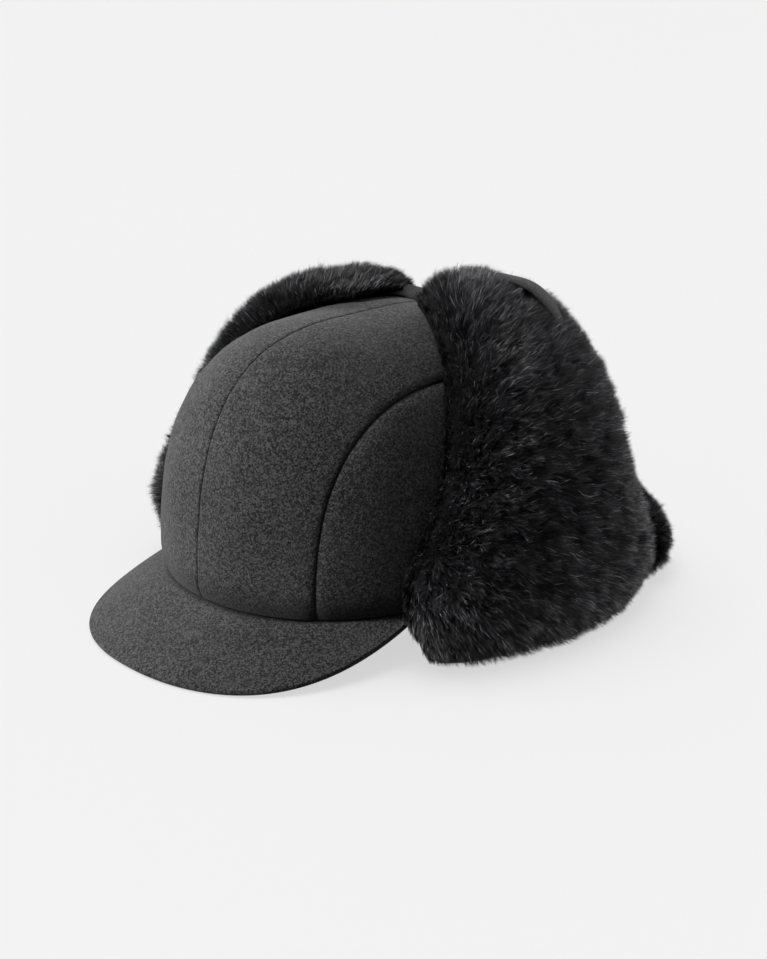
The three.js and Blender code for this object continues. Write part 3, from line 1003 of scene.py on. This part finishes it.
def strand_lines(flap, u, v, dice, bends):
    """The bent middle line of each strand, from its root in the pile to its tip."""
    sizes = settings()
    tiny = 0.004

    def face(u, v):
        return flap.point(u, v, flap.depth(u, v))

    depth = flap.depth(u, v)
    surface = flap.point(u, v, depth)
    on_u = unit(face(u + tiny, v) - face(u - tiny, v))
    on_v = unit(face(u, v + tiny) - face(u, v - tiny))
    outwards = surface - flap.point(u, v, np.zeros(u.shape))
    facing = unit(np.cross(on_u, on_v)) * 0.5 + broad_facing(flap, u, v)
    inward = (facing * outwards).sum(-1, keepdims=True) < 0
    facing = unit(np.where(inward, -facing, facing))
    shape = np.random.default_rng(5)
    middles, leans, heights = tufts(flap, shape)
    near = nearest(middles, surface)
    hills = waves(surface, 16, shape)
    back, up = flap.comb(u, v)
    count = len(u)
    across = sizes.combing * back + leans[near, 0] + dice.normal(0, 0.2, count)
    along_v = sizes.combing * up + leans[near, 1] + dice.normal(0, 0.2, count)
    combed = on_u * across[:, None] + on_v * along_v[:, None]
    sink = np.minimum(sizes.root_depth / MM, 0.8 * depth)
    stray = np.where(dice.random(count) > 0.95, 1.8, 0)
    lift = 0.7 + 0.5 * hills + heights[near] + dice.normal(0, 0.5, count) + stray
    lift = lift - pressed_by_strap(surface, 3)
    root = surface - facing * sink[:, None] - combed * (0.6 * sink)[:, None]
    height = np.maximum(sink + lift, 1.5)[:, None, None]
    share = np.linspace(0, 1, bends + 1)[None, :, None]
    line = root[:, None] + facing[:, None] * height * share**0.9
    line = line + combed[:, None] * height * share**1.5
    to_tuft = middles[near] - surface
    pull = sizes.clump * dice.uniform(0, 1, count)
    line = line + (to_tuft * pull[:, None])[:, None] * share**1.6
    return shortened(line), facing, root


def tufts(flap, shape):
    """Where a flap's tufts stand, which way each leans, and how far each stands out."""
    count = settings().tufts
    u, v = sprinkled(flap, count, shape)
    middles = flap.point(u, v, flap.depth(u, v))
    return middles, shape.normal(0, 0.2, (count, 2)), shape.normal(0, 0.8, count)


def nearest(targets, points):
    """For each point, the place in the list of the target nearest to it."""
    tree = KDTree(len(targets))
    for place, target in enumerate(targets):
        tree.insert(target, place)
    tree.balance()
    return np.array([tree.find(point)[1] for point in points], int)


def shortened(line):
    """Strands that would reach below the surface the hat stands on are cut short there."""
    lowest = 0.4
    root, tip = line[:, 0, 2], line[:, -1, 2]
    kept = np.where(tip < lowest, (root - lowest) / np.maximum(root - tip, 0.01), 1)
    return line[:, :1] + (line - line[:, :1]) * np.clip(kept, 0.15, 1)[:, None, None]


def drawn_together(line, root, dice):
    """Draws neighbouring strands together towards their tips, in small tufts."""
    count = len(root)
    leaders = dice.choice(count, count // TUFT_STRANDS, replace=False)
    leader = leaders[nearest(root[leaders], root)]
    along = np.linspace(0, 1, line.shape[1])[None, :, None]
    pull = settings().clump * dice.uniform(0.2, 1.2, count)[:, None, None]
    return line + (line[leader] - line) * pull * along**1.3


def clear_of_strap(line):
    """True for strands that don't lie over the strap, except where fur hides its far end."""
    middle, ahead, across, up = strap_run(STRAP_STEPS)
    tip_x, tip_z = line[:, -1, 0], line[:, -1, 2]
    near = np.flatnonzero((tip_z > 135) & (tip_x > -30) & (tip_x < 80))
    points = line[near, 1:]
    place = nearest(middle, points.reshape(-1, 3)).reshape(points.shape[:2])
    away = points - middle[place]
    along, beside, height = ((away * way[place]).sum(-1) for way in (ahead, across, up))
    over = (np.abs(beside) < STRAP_WIDTH / 2 - 0.8) & (height > -1.2) & (np.abs(along) < 5)
    over &= (place >= STRAP_CLEARED[0]) & (place < STRAP_CLEARED[1])
    clear = np.ones(len(line), bool)
    clear[near] = ~over.any(-1)
    return clear


def grow(flap, name, count, seed, finish):
    """Grows one piece of fur strands as a joined mesh of narrow tapering ribbons."""
    dice = np.random.default_rng(seed)
    bends = 2
    u, v = sprinkled(flap, count, dice)
    line, facing, root = strand_lines(flap, u, v, dice, bends)
    line = drawn_together(line, root, dice)
    keep = clear_of_strap(line)
    line, facing = line[keep], facing[keep]
    line[..., 2] = np.maximum(line[..., 2], LINES_LOWEST)
    count = len(line)
    ahead = unit(np.gradient(line, axis=1))
    across = unit(np.cross(ahead, facing[:, None]))
    twist = dice.normal(0, 0.55, count)[:, None, None]
    across = across * np.cos(twist) + np.cross(ahead, across) * np.sin(twist)
    taper = np.linspace(1, 0.75, bends)
    # Each strand's random value sets its tone and, for a few strands, a painted glint; those
    # strands are also drawn a little wider.
    tone_and_glint = dice.random(count)
    width = settings().strand_width / MM * dice.uniform(0.7, 1.2, count)
    width = width * (1 + 0.4 * tone_and_glint**20)
    half = across[:, :-1] * (0.5 * width[:, None] * taper)[..., None]
    points = np.concatenate([line[:, :-1] - half, line[:, :-1] + half, line[:, -1:]], 1)
    points[..., 2] = np.maximum(points[..., 2], RIBBONS_LOWEST)
    each = 2 * bends + 1
    quads = np.array([(k, k + 1, bends + k + 1, bends + k) for k in range(bends - 1)]).ravel()
    corners = np.concatenate([quads, [bends - 1, 2 * bends, 2 * bends - 1]])
    strands = np.arange(count)[:, None]
    loops = (corners[None] + each * strands).ravel()
    starts = (4 * np.arange(bends)[None] + len(corners) * strands).ravel()
    mesh = bpy.data.meshes.new(name)
    mesh.vertices.add(count * each)
    mesh.vertices.foreach_set("co", to_row(points).astype(np.float32).ravel())
    mesh.loops.add(len(loops))
    mesh.loops.foreach_set("vertex_index", loops.astype(np.int32))
    mesh.polygons.add(count * bends)
    mesh.polygons.foreach_set("loop_start", starts.astype(np.int32))
    mesh.update(calc_edges=True)
    height = np.concatenate([np.arange(bends), np.arange(bends), [bends]]) / bends
    strand = np.stack([np.repeat(tone_and_glint, each), np.tile(height, count)], -1)
    layer = mesh.uv_layers.new(name="strand")
    layer.uv.foreach_set("vector", strand[loops].astype(np.float32).ravel())
    mesh.shade_smooth()
    new_piece(name, mesh, finish, "fur")


class CAP_OT_ear_flaps(bpy.types.Operator):
    """Grow the fur of both ear flaps"""

    bl_idname = "cap.ear_flaps"
    bl_label = "Ear flaps"

    def execute(self, context):
        sizes = settings()
        coat, strands = undercoat_finish(sizes.fur_colour), fur_finish(sizes.fur_colour)
        for name, side, count, seed in (
            ("left", 1, sizes.left_strands, 11),
            ("right", -1, sizes.right_strands, 23),
        ):
            flap = EarFlap(side)
            undercoat(flap, f"ear_flap_{name}_undercoat", f"ear_flap_{name}", coat)
            for layer in (1, 2):
                grow(flap, f"ear_flap_{name}_fur_{layer}", count, seed + layer, strands)
        return {"FINISHED"}


class CAP_OT_neck_flap(bpy.types.Operator):
    """Grow the fur of the neck flap"""

    bl_idname = "cap.neck_flap"
    bl_label = "Neck flap"

    def execute(self, context):
        flap = NeckFlap()
        coat, strands = (bpy.data.materials[name] for name in ("fur_undercoat", "fur_strands"))
        undercoat(flap, "neck_flap_undercoat", "neck_flap", coat)
        grow(flap, "neck_flap_fur", settings().neck_strands, 37, strands)
        return {"FINISHED"}


def group(name, pieces):
    """A collection of pieces, for a light to shine on."""
    made = bpy.data.collections.new(name)
    for piece in pieces:
        made.objects.link(piece)
    return made


def sun(name, direction, strength, spread):
    """A distant soft light that comes from a direction."""
    light = bpy.data.lights.new(name, "SUN")
    light.energy = strength
    light.angle = math.radians(spread)
    lamp = bpy.data.objects.new(name, light)
    lamp.rotation_mode = "QUATERNION"
    lamp.rotation_quaternion = (-Vector(direction)).to_track_quat("-Z", "Y")
    bpy.context.scene.collection.objects.link(lamp)
    return lamp


class CAP_OT_stage(bpy.types.Operator):
    """Set up the floor, the studio light and the camera"""

    bl_idname = "cap.stage"
    bl_label = "Stage"

    def execute(self, context):
        form = bmesh.new()
        bmesh.ops.create_grid(form, x_segments=8, y_segments=8, size=8)
        floor = bpy.data.objects.new("floor", finish_mesh(form, "floor"))
        floor.data.materials.append(floor_finish())
        bpy.context.scene.collection.objects.link(floor)
        floor.visible_diffuse = False
        floor.visible_glossy = False
        floor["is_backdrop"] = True

        world = bpy.data.worlds.new("studio")
        world.use_nodes = True
        sky = world.node_tree.nodes["Background"].inputs
        sky["Color"].default_value = (1, 1, 1, 1)
        sky["Strength"].default_value = 0.15
        bpy.context.scene.world = world
        bpy.context.scene.view_settings.view_transform = "Standard"

        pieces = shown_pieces()
        for name, direction, strength, spread, unlit in (
            ("key_light", (-0.31, -0.81, 0.5), 3.4, 10, ()),
            ("left_light", (-0.981, -0.173, 0.087), 3.5, 25, ("ear_flap_right",)),
            ("back_light", (-0.45, 0.85, 0.25), 1.7, 40, ()),
        ):
            lit = group(name, [piece for piece in pieces if not piece.name.startswith(unlit)])
            sun(name, direction, strength, spread).light_linking.receiver_collection = lit
        sun("top_light", (-0.15, -0.09, 0.985), 0.5, 50)
        sides = ("ear_flap_left_fur", "neck_flap_fur", "top_strap_band")
        fur = group("fur", [piece for piece in pieces if piece.name.startswith(sides)])
        side = sun("side_light", (0.78, 0.32, 0.53), 2.3, 30)
        side.light_linking.receiver_collection = fur
        ground = group("ground", [floor])
        wash = sun("floor_wash", (0, 0, 1), 2.2, 30)
        wash.light_linking.receiver_collection = ground
        wash.light_linking.blocker_collection = ground

        azimuth, elevation = math.radians(VIEW_AZIMUTH), math.radians(VIEW_ELEVATION)
        level = math.cos(elevation)
        back = Vector(
            (math.sin(azimuth) * level, -math.cos(azimuth) * level, math.sin(elevation))
        )
        camera = bpy.data.cameras.new("view")
        camera.sensor_width = 36
        camera.lens = PIXELS_PER_MM * VIEW_DISTANCE / max(IMAGE) * camera.sensor_width
        camera.shift_x = (IMAGE[0] / 2 - PIVOT_PIXEL[0]) / max(IMAGE)
        camera.shift_y = -(IMAGE[1] / 2 - PIVOT_PIXEL[1]) / max(IMAGE)
        camera.clip_start, camera.clip_end = 0.1, 40
        eye = bpy.data.objects.new("view", camera)
        eye.location = Vector(to_row(np.array(VIEW_PIVOT, float))) + back * VIEW_DISTANCE * MM
        eye.rotation_mode = "QUATERNION"
        eye.rotation_quaternion = (-back).to_track_quat("-Z", "Y")
        bpy.context.scene.collection.objects.link(eye)
        bpy.context.scene.camera = eye
        return {"FINISHED"}


class CAP_PT_panel(bpy.types.Panel):
    """Lists the steps that dress the cap"""

    bl_idname = "CAP_PT_panel"
    bl_label = "Winter cap"
    bl_space_type = "VIEW_3D"
    bl_region_type = "UI"
    bl_category = "Winter cap"

    def draw(self, context):
        for name in CapSettings.__annotations__:
            self.layout.prop(settings(), name)
        for step in STEPS:
            self.layout.operator(step.bl_idname)


STEPS = (CAP_OT_crown, CAP_OT_peak, CAP_OT_strap, CAP_OT_ear_flaps, CAP_OT_neck_flap, CAP_OT_stage)
CLASSES = (CapSettings, *STEPS, CAP_PT_panel)


def register():
    for made in CLASSES:
        bpy.utils.register_class(made)
    bpy.types.Scene.winter_cap = bpy.props.PointerProperty(type=CapSettings)


def unregister():
    del bpy.types.Scene.winter_cap
    for made in reversed(CLASSES):
        bpy.utils.unregister_class(made)


def main():
    register()
    bpy.ops.cap.crown()
    bpy.ops.cap.peak()
    bpy.ops.cap.strap()
    bpy.ops.cap.ear_flaps()
    bpy.ops.cap.neck_flap()
    bpy.ops.cap.stage()


if __name__ == "__main__":
    main()
